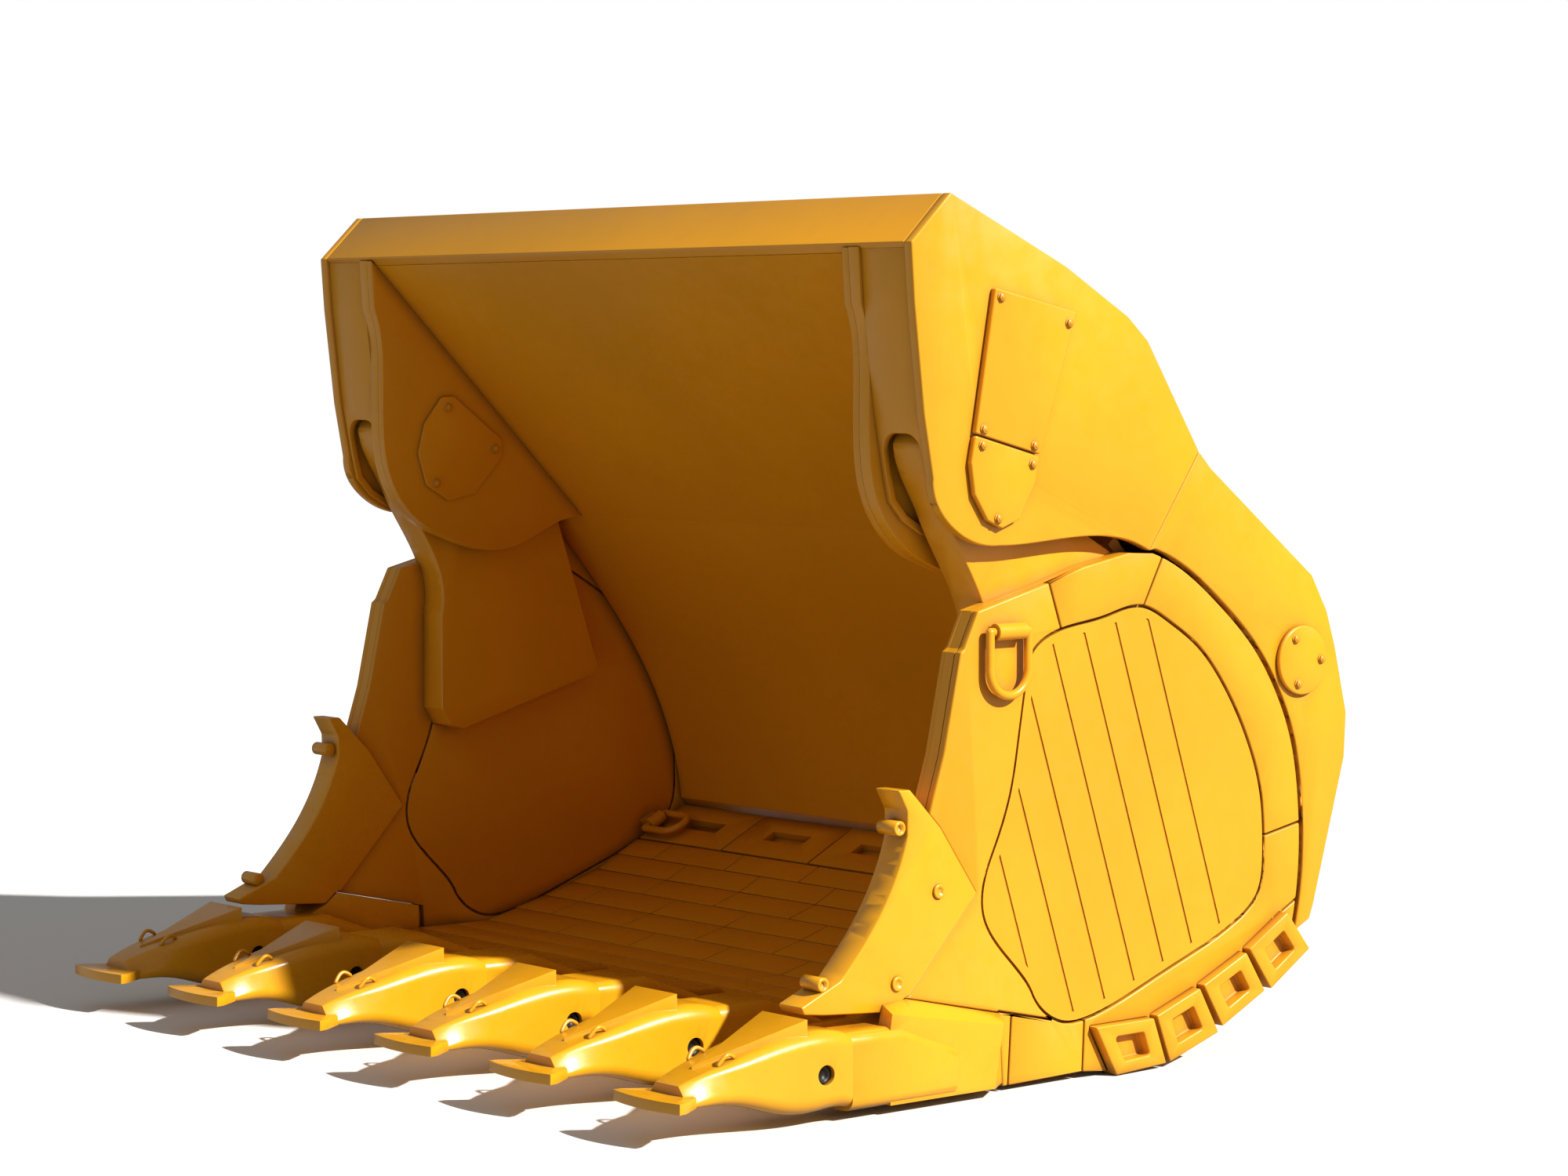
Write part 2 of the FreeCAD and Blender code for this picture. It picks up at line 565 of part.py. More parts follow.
def heel_plates():
    """Row of slotted plates where the floor turns up to the back wall."""
    start, end = FLOOR_LINE[-2], FLOOR_LINE[-1]
    length = math.hypot(end[0] - start[0], end[1] - start[1])
    near = along(start, end, 12)
    far = along(start, end, length)
    profile = [near, far] + offset([near, far], -TILE)[::-1]
    slot_line = [along(start, end, length * 0.42), along(start, end, length * 0.66)]
    slot_profile = offset(slot_line, 10) + offset(slot_line, -TILE - 10)[::-1]
    pitch = 2 * TILE_EDGE / HEEL_PLATE_COUNT
    plates = []
    for index in range(HEEL_PLATE_COUNT):
        left = -TILE_EDGE + index * pitch
        slot = plate(slot_profile, left + pitch * 0.28, left + pitch * 0.72)
        plates.append(plate(profile, left + TILE_GAP, left + pitch - TILE_GAP).cut(slot))
    return group(plates)


def bottom_wear_bars():
    """Skid bars along the underside, flat below and following the heel."""
    top = floor_line(TILE + FLOOR_PLATE)
    outline = [(1090, top[0][1]), top[1], top[2], top[3], top[4], (2500, 20), (2330, -110),
               (2080, -235), (1800, -345), (1560, GROUND), (1120, GROUND), (1090, GROUND + 40)]
    bars = []
    for centre in BAR_PLACES:
        bars.append(plate(outline, centre - BAR_WIDTH / 2, centre + BAR_WIDTH / 2))
    return group(both_sides(bars))


def lip():
    """Thick plate across the front, with a bevelled edge between the adapter noses."""
    outline = [(LIP_FRONT, -290), (LIP_FRONT + 100, FLOOR_TOP), (FLOOR_LINE[0][0], FLOOR_TOP),
               (FLOOR_LINE[0][0], LIP_LOW), (LIP_FRONT + 70, LIP_LOW), (LIP_FRONT, -340)]
    return plate(outline, -WALL_IN, WALL_IN)


# ---- teeth --------------------------------------------------------------------------
def tooth_centres():
    return [(index - (TOOTH_COUNT - 1) / 2) * TOOTH_PITCH for index in range(TOOTH_COUNT)]


def section(centre, half_low, half_high, y, z_low, z_high, corner):
    """Rounded trapezium across the tooth at a given y."""
    points = [(centre - half_low, z_low), (centre + half_low, z_low),
              (centre + half_high, z_high), (centre - half_high, z_high)]
    edges = []
    path = rounded(points, corner)
    here = Vector(path[0][0], y, path[0][1])
    for step in path[1:] + [path[0]]:
        if step[0] == "arc":
            there = Vector(step[2][0], y, step[2][1])
            edges.append(Part.Arc(here, Vector(step[1][0], y, step[1][1]), there).toShape())
        else:
            there = Vector(step[0], y, step[1])
            edges.append(Part.makeLine(here, there))
        here = there
    return Part.Wire(edges)


def nose(centre):
    """Tapered nose of the adapter, which fills the socket of the tooth."""
    return Part.makeLoft([section(centre, 120, 120, TOOTH_JOINT_Y, -345, -135, 20),
                          section(centre, 80, 80, -250, -305, -205, 20)], True, True)


def corner_block():
    """Block under the front of the right side wall, flared outward beside the shroud."""
    inner = plate(CORNER_INNER, SHROUD_IN, WALL_IN)
    middle = plate(CORNER_MIDDLE, WALL_IN, HALF_WIDTH)
    ends = []
    for outline, x in ((CORNER_FLANK, HALF_WIDTH), (CORNER_FACE, CORNER_OUT)):
        ends.append(Part.Wire(path_edges(outline + [outline[0]], x)))
    flare = Part.makeLoft(ends, True, True)
    return inner.fuse([middle, flare])


def adapter(centre):
    """Casting that straddles the lip: nose, body and the straps above and below the lip."""
    half = CASTING_HALF
    body = Part.makeLoft([section(centre, half, half, y, CASTING_LOW, top, CASTING_CORNER)
                          for y, top in ((TOOTH_JOINT_Y, CASTING_TOP), (430, CASTING_TOP),
                                         (720, FLOOR_TOP + 15))], True, True)
    top_strap = plate([(600, FLOOR_TOP), (600, -185), (880, -192), (910, FLOOR_TOP)],
                      centre - half / 2, centre + half / 2)
    bottom_strap = plate([(600, LIP_LOW), (900, LIP_LOW), (870, CASTING_LOW),
                          (600, CASTING_LOW)], centre - half * 0.7, centre + half * 0.7)
    shape = body.fuse([top_strap, bottom_strap, nose(centre)])
    if abs(centre) + half > WALL_IN:
        block = corner_block()
        shape = shape.fuse(block if centre > 0 else mirrored(block))
    hole = disc(TOOTH_PIN, TOOTH_PIN_R, centre - half, centre + half)
    return shape.cut([lip(), hole]).removeSplitter()


def tooth_blade(centre):
    """Flat spade at the tip, wider than the body behind it."""
    plan = [(-205, TOOTH_TIP_Y + 27), (-200, -695), (-130, -590), (130, -590), (200, -695),
            (205, TOOTH_TIP_Y + 27)]
    points = [Vector(centre + x, y, BLADE_LOW) for x, y in plan]
    edges = [Part.makeLine(a, b) for a, b in zip(points, points[1:])]
    tip = Vector(centre, TOOTH_TIP_Y, BLADE_LOW)
    edges.append(Part.Arc(points[-1], tip, points[0]).toShape())
    return Part.Face(Part.Wire(edges)).extrude(Vector(0, 0, BLADE_TOP - BLADE_LOW))


def tooth_ridge(centre):
    """Flat-topped wedge that rises and widens toward the back of the tooth."""
    root = -260
    side = plate([(RIDGE_FRONT[0], root), RIDGE_FRONT, RIDGE_BACK, (RIDGE_BACK[0], root)],
                 centre - RIDGE_HALF, centre + RIDGE_HALF)
    corners = [Vector(centre, RIDGE_FRONT[0], root),
               Vector(centre + RIDGE_HALF, RIDGE_BACK[0], root),
               Vector(centre - RIDGE_HALF, RIDGE_BACK[0], root)]
    plan = Part.Face(Part.makePolygon(corners + corners[:1]))
    return side.common(plan.extrude(Vector(0, 0, RIDGE_BACK[1] - root)))


def tooth(centre):
    """Socketed tooth. Its body narrows and thins from the joint to a small square nose."""
    stations = ((165, 165, TOOTH_JOINT_Y, -385, CASTING_TOP, CASTING_CORNER),
                (165, 164, -20, -388, -66, 66),
                (162, 152, -150, -380, -82, 64),
                (156, 136, -330, -330, -124, 52),
                (146, 106, -490, -302, -168, 32),
                (132, 70, -630, BLADE_LOW, -217, 10))
    body = Part.makeLoft([section(centre, *station) for station in stations], True, False)
    shape = body.fuse([tooth_blade(centre), tooth_ridge(centre)])
    hole = disc(TOOTH_PIN, TOOTH_PIN_R, centre - 2 * CASTING_HALF, centre + 2 * CASTING_HALF)
    return shape.cut([nose(centre), hole]).removeSplitter()


def retainer_pins():
    """Tooth retaining pins and the plugs that hold the wing shrouds."""
    pins = []
    for centre in tooth_centres():
        pins.append(disc(TOOTH_PIN, TOOTH_PIN_R, centre - TOOTH_PIN_HALF, centre + TOOTH_PIN_HALF))
    plugs = []
    for place in ((699, 413), (478, 63)):
        plugs.append(disc(place, PLUG_R, HALF_WIDTH, HALF_WIDTH + 12))
    for place in ((505, 678), (105, 93)):
        plugs.append(disc(place, PLUG_R, SHROUD_IN + 20, HALF_WIDTH - 10))
    shroud = wing_shroud()
    return group(pins + both_sides([plug.cut(shroud) for plug in plugs]))


# ---- lifting rings ------------------------------------------------------------------
def bar(start, end, radius):
    return Part.makeCylinder(radius, (end - start).Length, start, end - start)


def lifting_ring(start, end, drop):
    """Ring rod: straight bars with balls at the corners and half a torus for the bow."""
    run = Vector(end - start)
    width = run.Length
    run.normalize()
    down = Vector(drop)
    depth = down.Length - width / 2
    down.normalize()
    low_start = start + down * depth
    low_end = end + down * depth
    normal = run.cross(down)
    bow = Part.makeTorus(width / 2, ROD_R, (low_start + low_end) / 2, normal)
    reach = width / 2 + 2 * ROD_R
    keep = Part.makeBox(2 * reach, reach, 4 * ROD_R)
    keep.Placement = FreeCAD.Placement(Vector(0, 0, 0), FreeCAD.Rotation(run, down, normal, "ZXY"))
    keep.translate((low_start + low_end) / 2 - run * reach - normal * 2 * ROD_R)
    shape = bow.common(keep)
    pieces = [bar(start, end, ROD_R), bar(start, low_start, ROD_R), bar(end, low_end, ROD_R),
              Part.makeSphere(ROD_R, start), Part.makeSphere(ROD_R, end)]
    return shape.fuse(pieces).removeSplitter()


def outer_ring():
    return lifting_ring(OUTER_RING[0], OUTER_RING[1], OUTER_RING_DROP)


def inner_ring():
    return lifting_ring(INNER_RING[0], INNER_RING[1], INNER_RING_DROP)


def bracket(start, end, foot):
    """Short tube round a ring's straight side, on a foot welded to the wall."""
    run = Vector(end - start).normalize()
    tube_start = start + run * 26
    length = (end - start).Length - 52
    bore = Part.makeCylinder(ROD_R + RUNNING_FIT, length + 2, tube_start - run, run)
    tube = Part.makeCylinder(TUBE_R, length, tube_start, run)
    return tube.fuse(foot).cut(bore).removeSplitter()


def ring_brackets():
    y0, z0 = OUTER_RING[0].y + 26, OUTER_RING[0].z
    outer_foot = box(SKIN_OUT, OUTER_RING[0].x, y0, OUTER_RING[1].y - 26, z0 - 20, z0 + 20)
    outer = bracket(OUTER_RING[0], OUTER_RING[1], outer_foot)
    start, end = INNER_RING
    run = Vector(end - start).normalize()
    up = Vector(0, -run.z, run.y)
    corner = start + run * 26 - up * 20
    inner_foot = Part.makeBox(WALL_LINER_IN - start.x, (end - start).Length - 52, 40)
    inner_foot.Placement = FreeCAD.Placement(Vector(0, 0, 0),
                                             FreeCAD.Rotation(Vector(1, 0, 0), run, up, "XYZ"))
    inner_foot.translate(corner)
    inner = bracket(start, end, inner_foot)
    return group(both_sides([outer, inner]))


# ---- clam cylinders -----------------------------------------------------------------
def axial(distance):
    """Point on the cylinder axis at a distance from the base pin."""
    point = along(BASE_PIN, CRANK_PIN, distance)
    return at_x(CYLINDER_X, point)


def axial_cylinder(radius, start, end):
    return Part.makeCylinder(radius, end - start, axial(start), axial(end) - axial(start))


def cylinder_barrel():
    """Barrel with its base eye, and the gland screwed into its mouth."""
    eye = disc(BASE_PIN, BASE_EYE_R, CYLINDER_X - 60, CYLINDER_X + 60)
    tube = axial_cylinder(BARREL_R, 95, BARREL_END)
    shape = eye.fuse(tube).cut([axial_cylinder(BORE_R, BARREL_FLOOR, BARREL_END),
                                disc(BASE_PIN, BASE_PIN_R + RUNNING_FIT, CYLINDER_X - 70,
                                     CYLINDER_X + 70)])
    gland = axial_cylinder(BORE_R, BARREL_END - 70, BARREL_END) \
        .fuse(axial_cylinder(BARREL_R - 4, BARREL_END, BARREL_END + 45)) \
        .cut(axial_cylinder(ROD_SHAFT_R + RUNNING_FIT, BARREL_END - 80, BARREL_END + 50))
    return group([shape.removeSplitter(), gland.removeSplitter()])


def cylinder_rod():
    """Rod with its eye, the piston on its inner end and the pin's middle length in the eye."""
    span = math.hypot(CRANK_PIN[0] - BASE_PIN[0], CRANK_PIN[1] - BASE_PIN[1])
    shaft = axial_cylinder(ROD_SHAFT_R, PISTON_AT, span - 260)
    neck = axial_cylinder(NECK_R, span - 262, span - 80)
    eye = disc(CRANK_PIN, ROD_EYE_R, CYLINDER_X - 40, CYLINDER_X + 40)
    rod = shaft.fuse([neck, eye]).cut(disc(CRANK_PIN, CRANK_PIN_R, CYLINDER_X - 50,
                                           CYLINDER_X + 50)).removeSplitter()
    piston = axial_cylinder(BORE_R - RUNNING_FIT, PISTON_AT - 40, PISTON_AT + 40) \
        .cut(rod)
    pin = disc(CRANK_PIN, CRANK_PIN_R, CYLINDER_X - 40, CYLINDER_X + 40)
    return group([rod, piston, pin])


# ---- export -------------------------------------------------------------------------
def save(node, shape):
    for solid in shape.Solids:
        if solid.Volume < 0:
            raise ValueError(node + " has an inside-out solid")
    moved = shape.copy()
    moved.translate(Vector(0, -STICK_PIVOT[0], -STICK_PIVOT[1]))
    moved.exportStep("parts/" + node + ".step")


def save_pair(node, shape):
    save(node + "_right", shape)
    save(node + "_left", mirrored(shape))


os.makedirs("parts", exist_ok=True)

for maker in (spill_guard, top_plate, rear_plate, back_plate_upper, back_plate_lower,
              closing_bar, box_ribs, access_covers, inner_covers, cover_bolts, pivot_pins,
              stick_lugs, tilt_lugs, pivot_bushes, heel_blocks, arm_bushes, crank_pin_ends,
              floor_plate, floor_wear_plates, heel_plates, bottom_wear_bars, lip,
              retainer_pins, ring_brackets, cheek_liners):
    save(maker.__name__, maker())

for maker in (cheek_outer, cheek_inner, cheek_front, side_arm, side_wall,
              inner_liner, ribbed_liner, rim_plates, wing_shroud, hinge_arm, outer_ring,
              inner_ring, cylinder_barrel, cylinder_rod):
    save_pair(maker.__name__, maker())

save("tooth_adapters", group([adapter(centre) for centre in tooth_centres()]))
for number, centre in enumerate(tooth_centres(), start=1):
    save("tooth_" + str(number), tooth(centre))
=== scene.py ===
import json
import math

import bmesh
import bpy
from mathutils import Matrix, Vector
from mathutils.bvhtree import BVHTree


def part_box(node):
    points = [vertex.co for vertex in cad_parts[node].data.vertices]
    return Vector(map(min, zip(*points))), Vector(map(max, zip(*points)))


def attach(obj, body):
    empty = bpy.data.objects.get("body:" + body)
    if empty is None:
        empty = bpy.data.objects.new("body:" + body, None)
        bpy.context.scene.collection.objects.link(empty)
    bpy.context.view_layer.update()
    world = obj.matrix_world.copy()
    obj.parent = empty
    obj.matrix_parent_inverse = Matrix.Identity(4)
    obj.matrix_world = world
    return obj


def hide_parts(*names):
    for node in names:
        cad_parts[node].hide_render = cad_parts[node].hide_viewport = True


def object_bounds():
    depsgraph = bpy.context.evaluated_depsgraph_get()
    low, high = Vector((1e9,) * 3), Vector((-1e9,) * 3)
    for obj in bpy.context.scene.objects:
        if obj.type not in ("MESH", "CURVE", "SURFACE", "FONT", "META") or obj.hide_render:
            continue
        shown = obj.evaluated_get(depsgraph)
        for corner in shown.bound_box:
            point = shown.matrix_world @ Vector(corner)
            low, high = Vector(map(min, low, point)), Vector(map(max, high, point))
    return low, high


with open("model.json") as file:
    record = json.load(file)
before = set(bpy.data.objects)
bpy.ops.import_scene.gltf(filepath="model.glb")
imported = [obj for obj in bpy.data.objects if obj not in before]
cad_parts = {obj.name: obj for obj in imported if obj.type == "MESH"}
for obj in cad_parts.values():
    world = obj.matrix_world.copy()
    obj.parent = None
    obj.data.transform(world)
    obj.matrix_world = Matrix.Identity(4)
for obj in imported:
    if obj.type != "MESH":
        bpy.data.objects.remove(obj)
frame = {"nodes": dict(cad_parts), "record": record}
cad_low, cad_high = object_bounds()
NODES = frame["nodes"]
BODIES = frame["record"]["behaviour"]["bodies"]
BODY_OF = {node: body for body, nodes in BODIES.items() for node in nodes}
SIDES = ("left", "right")

# ---- camera, floor and light --------------------------------------------------------
CAMERA_PLACE = Vector((13.897, -12.402, 0.213))
CAMERA_AIM = Vector((0.02, -0.75, -0.88))
LENS, VIEW_END = 92.0, 200.0
FLOOR_DROP, FLOOR_REACH, FLOOR_ROUGH = 0.004, 60.0, 0.9
FLOOR_SEEN, FLOOR_BOUNCE = 1.0, 0.30   # the floor's tone to the camera and to other rays
SKY, KEY, KEY_SPREAD = 0.22, 5.4, 1.5   # strengths, and the key's angular width in degrees
KEY_FROM = Vector((0.76, 0.24, 0.58))

# ---- small parts, metres ------------------------------------------------------------
FIRM_EDGE, GENTLE_EDGE, TOOTH_EDGE, ADAPTER_EDGE = 0.007, 0.003, 0.008, 0.004
SEAM_GAP = 0.0015            # edges this close to a neighbour are welded
WELD_SHORTEST, WELD_STEP, WELD_RIPPLE, WELD_SIDES = 0.05, 0.012, 0.10, 6
BOLT_SPLIT = 1.9             # bolts further out than this face outward
PLUG_LARGEST = 0.035         # retaining pins are thicker than this
EYE_OFFSET, EYE_BACK, EYE_LENGTH, EYE_RISE, EYE_WIRE = 0.090, 0.30, 0.085, 0.032, 0.0085


def make_camera():
    """Camera low in front of the bucket and to its right."""
    data = bpy.data.cameras.new("camera")
    data.lens = LENS
    data.clip_end = VIEW_END
    camera = bpy.data.objects.new("camera", data)
    camera.location = CAMERA_PLACE
    camera.rotation_euler = (CAMERA_AIM - CAMERA_PLACE).to_track_quat("-Z", "Y").to_euler()
    bpy.context.scene.collection.objects.link(camera)
    bpy.context.scene.camera = camera


def make_floor():
    """Plain pale floor, duller to bounced light so that the bucket's inside stays deep in tone."""
    mesh = bpy.data.meshes.new("floor")
    level = cad_low.z - FLOOR_DROP
    ways = ((-1, -1), (1, -1), (1, 1), (-1, 1))
    corners = [(x * FLOOR_REACH, y * FLOOR_REACH, level) for x, y in ways]
    mesh.from_pydata(corners, [], [(0, 1, 2, 3)])
    floor = bpy.data.objects.new("floor", mesh)
    bpy.context.scene.collection.objects.link(floor)
    material = bpy.data.materials.new("floor_pale")
    material.use_nodes = True
    tree = material.node_tree
    shader = tree.nodes["Principled BSDF"]
    shader.inputs["Roughness"].default_value = FLOOR_ROUGH
    seen = tree.nodes.new("ShaderNodeLightPath")
    tone = tree.nodes.new("ShaderNodeMix")
    tone.data_type = "RGBA"
    tone.inputs[6].default_value = (FLOOR_BOUNCE, FLOOR_BOUNCE, FLOOR_BOUNCE, 1)
    tone.inputs[7].default_value = (FLOOR_SEEN, FLOOR_SEEN, FLOOR_SEEN, 1)
    tree.links.new(seen.outputs["Is Camera Ray"], tone.inputs[0])
    tree.links.new(tone.outputs[2], shader.inputs["Base Color"])
    mesh.materials.append(material)


def make_light():
    """Soft sky that shows as a white backdrop, and one key light from the right and a little behind."""
    world = bpy.data.worlds.new("studio")
    world.use_nodes = True
    tree = world.node_tree
    sky = tree.nodes["Background"]
    sky.inputs["Color"].default_value = (1.0, 0.99, 0.97, 1)
    sky.inputs["Strength"].default_value = SKY
    backdrop = tree.nodes.new("ShaderNodeBackground")
    backdrop.inputs["Color"].default_value = (1.0, 1.0, 1.0, 1)
    seen = tree.nodes.new("ShaderNodeLightPath")
    choice = tree.nodes.new("ShaderNodeMixShader")
    tree.links.new(seen.outputs["Is Camera Ray"], choice.inputs[0])
    tree.links.new(sky.outputs[0], choice.inputs[1])
    tree.links.new(backdrop.outputs[0], choice.inputs[2])
    tree.links.new(choice.outputs[0], tree.nodes["World Output"].inputs["Surface"])
    bpy.context.scene.world = world
    sun = bpy.data.lights.new("key", "SUN")
    sun.energy = KEY
    sun.angle = math.radians(KEY_SPREAD)
    sun.color = (1.0, 0.97, 0.92)
    key = bpy.data.objects.new("key", sun)
    key.rotation_euler = KEY_FROM.to_track_quat("Z", "Y").to_euler()
    bpy.context.scene.collection.objects.link(key)
    bpy.context.scene.view_settings.view_transform = "Standard"


# ---- materials ----------------------------------------------------------------------
class Nodes:
    """Small helper that adds and links shader nodes of one material."""

    def __init__(self, name):
        self.material = bpy.data.materials.new(name)
        self.material.use_nodes = True
        self.tree = self.material.node_tree
        self.shader = self.tree.nodes["Principled BSDF"]
        self.place = self.add("ShaderNodeTexCoord").outputs["Object"]

    def add(self, kind, **settings):
        node = self.tree.nodes.new(kind)
        for key, value in settings.items():
            setattr(node, key, value)
        return node

    def link(self, source, target):
        self.tree.links.new(source, target)

    def noise(self, scale, detail=3.0, stretch=(1, 1, 1), roughness=0.5):
        mapping = self.add("ShaderNodeMapping")
        mapping.inputs["Scale"].default_value = stretch
        self.link(self.place, mapping.inputs["Vector"])
        texture = self.add("ShaderNodeTexNoise")
        texture.inputs["Scale"].default_value = scale
        texture.inputs["Detail"].default_value = detail
        texture.inputs["Roughness"].default_value = roughness
        self.link(mapping.outputs["Vector"], texture.inputs["Vector"])
        return texture.outputs["Fac"]

    def ramp(self, source, low, high, value_low=0.0, value_high=1.0):
        node = self.add("ShaderNodeMapRange")
        names = ("From Min", "From Max", "To Min", "To Max")
        for name, value in zip(names, (low, high, value_low, value_high)):
            node.inputs[name].default_value = value
        self.link(source, node.inputs["Value"])
        return node.outputs["Result"]

    def maths(self, operation, first, second):
        node = self.add("ShaderNodeMath", operation=operation)
        for socket, value in zip(node.inputs, (first, second)):
            if isinstance(value, (int, float)):
                socket.default_value = value
            else:
                self.link(value, socket)
        return node.outputs[0]

    def mix(self, factor, first, second, blend="MIX"):
        node = self.add("ShaderNodeMix", data_type="RGBA", blend_type=blend)
        for number, value in ((0, factor), (6, first), (7, second)):
            socket = node.inputs[number]
            if isinstance(value, (int, float)):
                socket.default_value = value
            elif isinstance(value, tuple):
                socket.default_value = (*value, 1)
            else:
                self.link(value, socket)
        return node.outputs[2]

    def corner_shade(self, distance):
        """Mask for painted shade: 1 in tight corners, 0 in the open."""
        node = self.add("ShaderNodeAmbientOcclusion", samples=4)
        node.inputs["Distance"].default_value = distance
        return self.ramp(node.outputs["AO"], 0.35, 0.9, 1.0, 0.0)

    def edge(self, radius):
        """Mask for painted edge highlights: 1 on convex and concave edges, 0 on flats."""
        bevel = self.add("ShaderNodeBevel", samples=4)
        bevel.inputs["Radius"].default_value = radius
        geometry = self.add("ShaderNodeNewGeometry")
        product = self.add("ShaderNodeVectorMath", operation="DOT_PRODUCT")
        self.link(bevel.outputs["Normal"], product.inputs[0])
        self.link(geometry.outputs["Normal"], product.inputs[1])
        return self.ramp(product.outputs["Value"], 0.99, 0.86, 0.0, 1.0)

    def bump(self, *layers):
        """Bump from (height, strength, distance) layers, the first one lowest."""
        normal = None
        for height, strength, distance in layers:
            node = self.add("ShaderNodeBump")
            node.inputs["Strength"].default_value = strength
            node.inputs["Distance"].default_value = distance
            self.link(height, node.inputs["Height"])
            if normal:
                self.link(normal, node.inputs["Normal"])
            normal = node.outputs["Normal"]
        self.link(normal, self.shader.inputs["Normal"])


YELLOW = (0.93, 0.41, 0.008)
YELLOW_DEEP = (0.80, 0.31, 0.005)
# pale yellow, used for painted edge highlights and for real scratches
YELLOW_PALE = (0.98, 0.50, 0.030)
# deep brown that is painted into corners as painted shade
CORNER_SHADE_TONE = (0.16, 0.07, 0.012)


def paint(name, base=YELLOW, gloss=0.36, scuffs=0.25, coat=0.3):
    """Construction-yellow paint: slight tone drift, painted shade in corners, painted highlight on edges,
    light scuffs.
    """
    made = Nodes(name)
    drift = made.ramp(made.noise(0.9, 4.0), 0.35, 0.65)
    darker = tuple(value * 0.94 for value in base)
    lighter = tuple(min(1.0, value * 1.04) for value in base)
    tone = made.mix(drift, darker, lighter)
    blotch = made.ramp(made.noise(7.0, 6.0, roughness=0.65), 0.52, 0.75, 0.0, 0.22)
    tone = made.mix(blotch, tone, YELLOW_DEEP)
    # painted shade: corners found by ambient occlusion are darkened towards deep brown
    corner = made.maths("MULTIPLY", made.corner_shade(0.07), 0.65)
    tone = made.mix(corner, tone, CORNER_SHADE_TONE)
    # painted highlight: edges lightened to a pale yellow, broken up by noise
    highlight_breakup = made.ramp(made.noise(18.0, 5.0), 0.40, 0.62, 0.05, 0.55)
    edge_highlight = made.maths("MULTIPLY", made.edge(0.012), highlight_breakup)
    tone = made.mix(edge_highlight, tone, YELLOW_PALE)
    scratch = made.noise(14.0, 8.0, stretch=(0.35, 5.0, 2.2), roughness=0.75)
    marks = made.ramp(scratch, 0.66, 0.74, 0.0, scuffs)
    tone = made.mix(marks, tone, YELLOW_PALE)
    made.link(tone, made.shader.inputs["Base Color"])
    rough = made.ramp(made.noise(11.0, 5.0), 0.3, 0.7, gloss - 0.07, gloss + 0.09)
    rough = made.maths("ADD", rough, made.maths("MULTIPLY", corner, 0.25))
    made.link(rough, made.shader.inputs["Roughness"])
    made.shader.inputs["Coat Weight"].default_value = coat
    made.shader.inputs["Coat Roughness"].default_value = 0.22
    made.bump((made.noise(3.0, 2.0), 0.10, 0.010), (made.noise(420.0, 2.0), 0.05, 0.002),
              (scratch, 0.04, 0.002))
    return made.material


def metal(name, base, rough, metallic=1.0, streak=(1, 1, 1)):
    """Bare or oiled metal with turning marks, a little tarnish and painted shade in hollows."""
    made = Nodes(name)
    grain = made.noise(60.0, 4.0, stretch=streak)
    tarnish = made.ramp(made.noise(9.0, 5.0), 0.45, 0.7, 0.0, 0.45)
    tone = made.mix(tarnish, base, tuple(value * 0.55 for value in base))
    # painted shade: hollows found by ambient occlusion are darkened
    tone = made.mix(made.corner_shade(0.03), tone, tuple(value * 0.3 for value in base))
    made.link(tone, made.shader.inputs["Base Color"])
    made.shader.inputs["Metallic"].default_value = metallic
    made.link(made.ramp(grain, 0.3, 0.7, rough - 0.06, rough + 0.10), made.shader.inputs["Roughness"])
    made.bump((grain, 0.08, 0.002))
    return made.material


MATERIALS = {
    "painted_plate": paint("painted_plate"),
    "wear_plate": paint("wear_plate", base=(0.90, 0.39, 0.008), gloss=0.42, scuffs=0.40, coat=0.2),
    "cast_steel": paint("cast_steel", base=(0.94, 0.43, 0.010), gloss=0.28, scuffs=0.30, coat=0.5),
    "fasteners": paint("fasteners", base=(0.78, 0.32, 0.008), gloss=0.34, scuffs=0.35),
    "pin_steel": metal("pin_steel", (0.045, 0.04, 0.038), 0.4, 0.6),
    "bush_bronze": metal("bush_bronze", (0.55, 0.33, 0.12), 0.3),
    "cylinder_paint": metal("cylinder_paint", (0.03, 0.03, 0.033), 0.42, 0.0),
    "chrome_rod": metal("chrome_rod", (0.78, 0.79, 0.81), 0.10, 1.0, (1, 0.1, 0.1)),
    "ring_steel": paint("ring_steel", gloss=0.3),
}
SLOT_OF = {entry["node"]: entry["material_slot"] for entry in frame["record"]["subparts"]}


# ---- shapes taken from the CAD nodes ------------------------------------------------
def clean_mesh(node):
    """The node's faces with doubled vertices merged and flat faces made whole."""
    work = bmesh.new()
    work.from_mesh(NODES[node].data)
    bmesh.ops.remove_doubles(work, verts=work.verts, dist=1e-5)
    bmesh.ops.dissolve_limit(work, angle_limit=math.radians(0.6), verts=work.verts, edges=work.edges)
    return work


def surface(nodes):
    """Search tree over the faces of several nodes."""
    points, faces = [], []
    for node in nodes:
        mesh = NODES[node].data
        base = len(points)
        points += [vertex.co.copy() for vertex in mesh.vertices]
        faces += [[base + index for index in face.vertices] for face in mesh.polygons]
    return BVHTree.FromPolygons(points, faces)


def islands(node):
    """Low and high corner of each separate solid in a node."""
    work = clean_mesh(node)
    left = set(work.verts)
    boxes = []
    while left:
        first = left.pop()
        found, queue = [first], [first]
        while queue:
            for edge in queue.pop().link_edges:
                for vertex in edge.verts:
                    if vertex in left:
                        left.discard(vertex)
                        found.append(vertex)
                        queue.append(vertex)
        low = Vector([min(vertex.co[axis] for vertex in found) for axis in range(3)])
        high = Vector([max(vertex.co[axis] for vertex in found) for axis in range(3)])
        boxes.append((low, high))
    work.free()
    return sorted(boxes, key=lambda pair: tuple(pair[0]))


